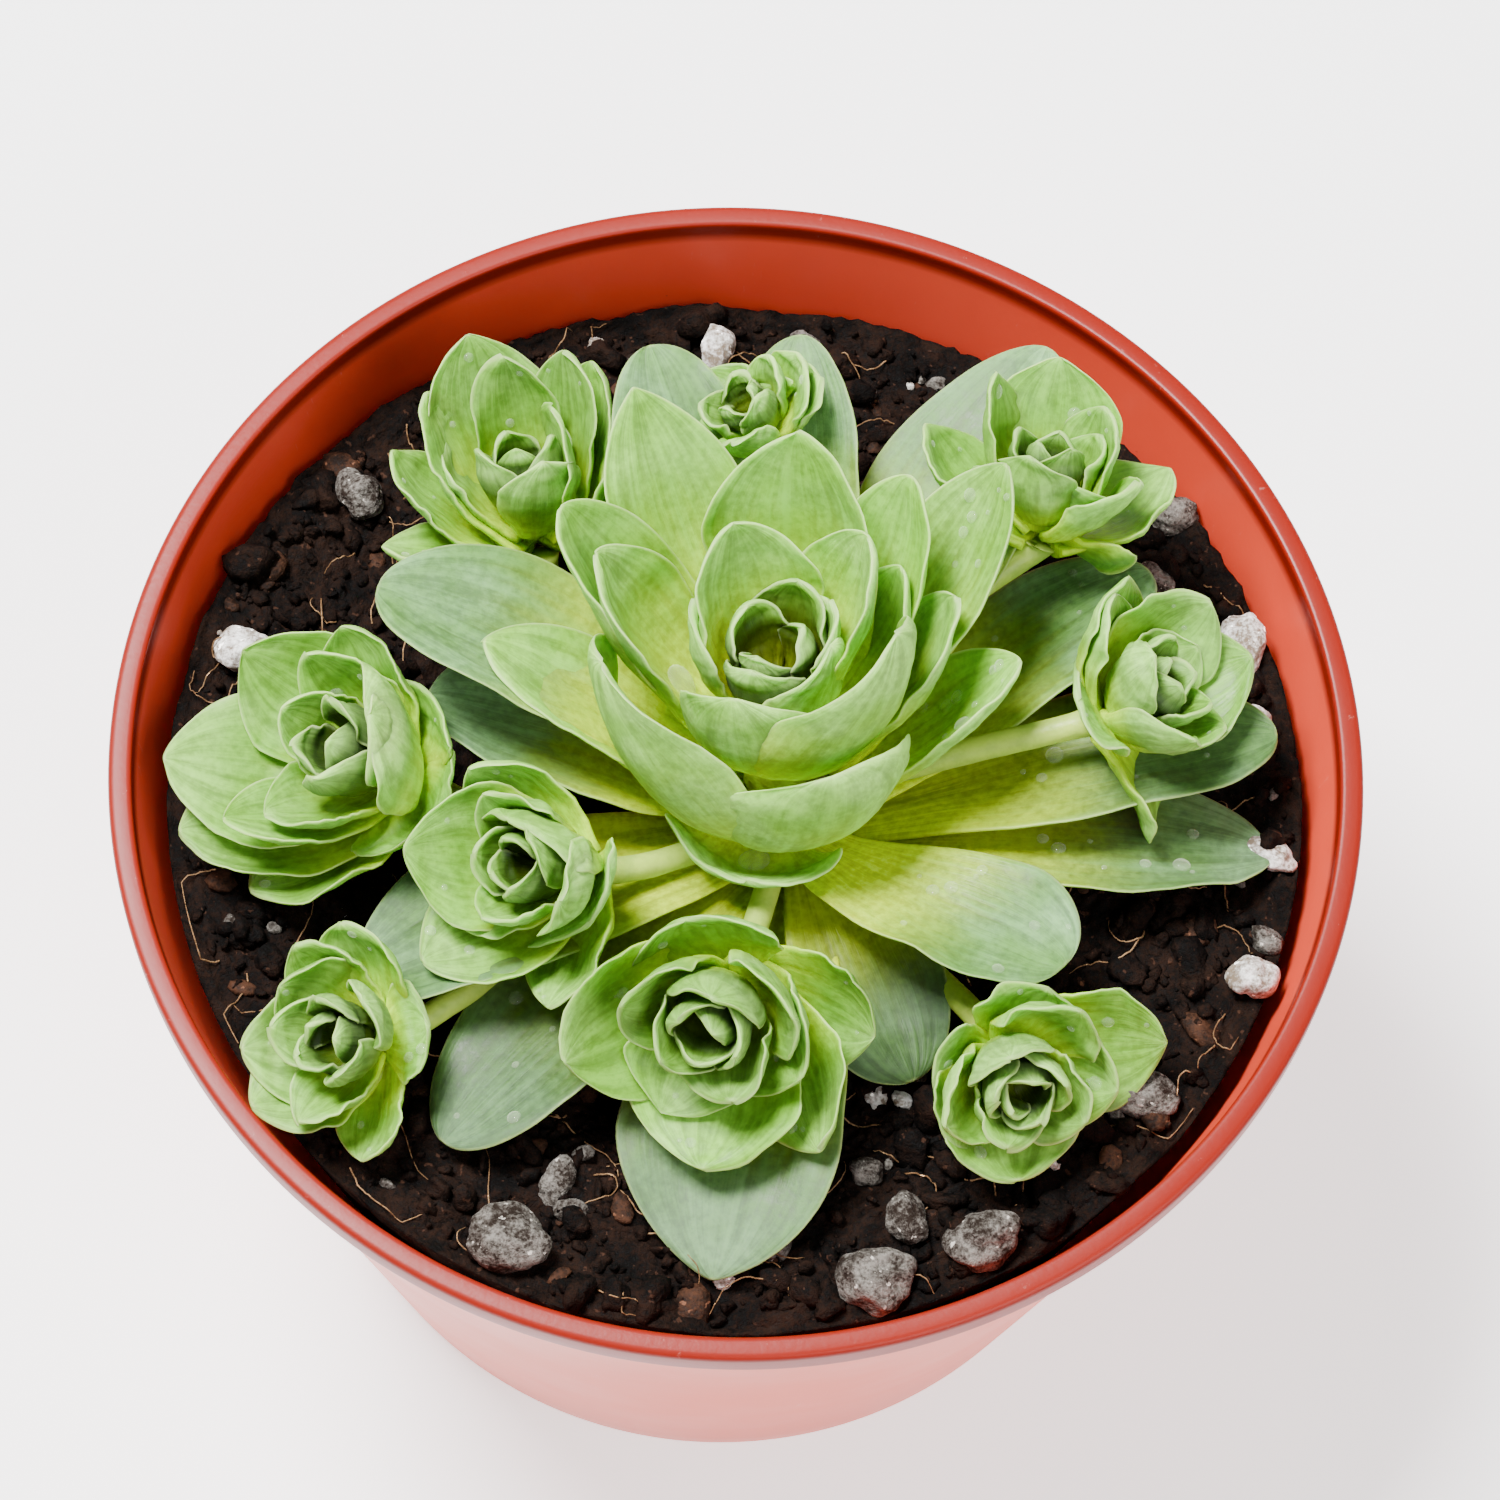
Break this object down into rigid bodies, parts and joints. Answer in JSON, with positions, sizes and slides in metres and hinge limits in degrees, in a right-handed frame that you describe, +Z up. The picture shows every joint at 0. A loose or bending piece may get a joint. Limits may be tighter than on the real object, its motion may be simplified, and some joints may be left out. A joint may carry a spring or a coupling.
{
  "type": "potted succulent",
  "caption": "Rosette succulent with offsets on runners, rooted in a gritty soil mix in a round tapered nursery pot.",
  "frame": {"origin": "centre of the pot's foot ring, on the plane that it stands on", "axes": "+Z up along the pot's axis, -Y towards the pot's front, +X to the right seen from the front"},
  "size_m": [0.1, 0.1, 0.0954],
  "materials": {
    "pot_plastic": "satin terracotta-orange injection-moulded plastic, scuffed, with a paler outer wall",
    "soil_mix": "damp dark peat and bark crumb, matte",
    "woody_stem": "short green-brown stem, matte",
    "lower_leaf": "old outer leaf, deeper blue-green with a grey bloom, waxy",
    "cup_leaf": "thin glaucous leaf, yellow-green at the foot, pale margin, waxy",
    "offset_leaf": "young glaucous leaf with a pale margin, waxy",
    "runner_skin": "smooth yellow-green shoot skin",
    "perlite": "white porous grain, matte",
    "pumice": "grey speckled porous grain, matte",
    "coir_fibre": "thin tan fibre in the soil mix, matte",
    "bark_chip": "brown bark fragment, matte",
    "water_drop": "clear water drop, glossy"
  },
  "bodies": {
    "root": {"cup_leaf_01": "cup_leaf", "cup_leaf_02": "cup_leaf", "cup_leaf_03": "cup_leaf", "cup_leaf_04": "cup_leaf", "cup_leaf_05": "cup_leaf", "cup_leaf_06": "cup_leaf", "cup_leaf_07": "cup_leaf", "cup_leaf_08": "cup_leaf", "cup_leaf_09": "cup_leaf", "cup_leaf_10": "cup_leaf", "cup_leaf_11": "cup_leaf", "cup_leaf_12": "cup_leaf", "heart_bud": "cup_leaf", "lower_leaf_01": "lower_leaf", "lower_leaf_02": "lower_leaf", "lower_leaf_03": "lower_leaf", "lower_leaf_04": "lower_leaf", "lower_leaf_05": "lower_leaf", "lower_leaf_06": "lower_leaf", "lower_leaf_07": "lower_leaf", "lower_leaf_08": "lower_leaf", "lower_leaf_09": "lower_leaf", "lower_leaf_10": "lower_leaf", "lower_leaf_11": "lower_leaf", "lower_leaf_12": "lower_leaf", "lower_leaf_13": "lower_leaf", "mother_stem": "woody_stem", "offset_back": "offset_leaf", "offset_back_left": "offset_leaf", "offset_back_right": "offset_leaf", "offset_far_left": "offset_leaf", "offset_front": "offset_leaf", "offset_front_left": "offset_leaf", "offset_front_right": "offset_leaf", "offset_left": "offset_leaf", "offset_right": "offset_leaf", "perlite_grain_01": "perlite", "perlite_grain_02": "perlite", "perlite_grain_04": "perlite", "pot": "pot_plastic", "pumice_grain_03": "pumice", "pumice_grain_05": "pumice", "pumice_grain_06": "pumice", "pumice_grain_07": "pumice", "pumice_grain_08": "pumice", "runner_back": "runner_skin", "runner_back_left": "runner_skin", "runner_back_right": "runner_skin", "runner_far_left": "runner_skin", "runner_front": "runner_skin", "runner_front_left": "runner_skin", "runner_front_right": "runner_skin", "runner_left": "runner_skin", "runner_right": "runner_skin", "soil": "soil_mix"}
  },
  "joints": []
}
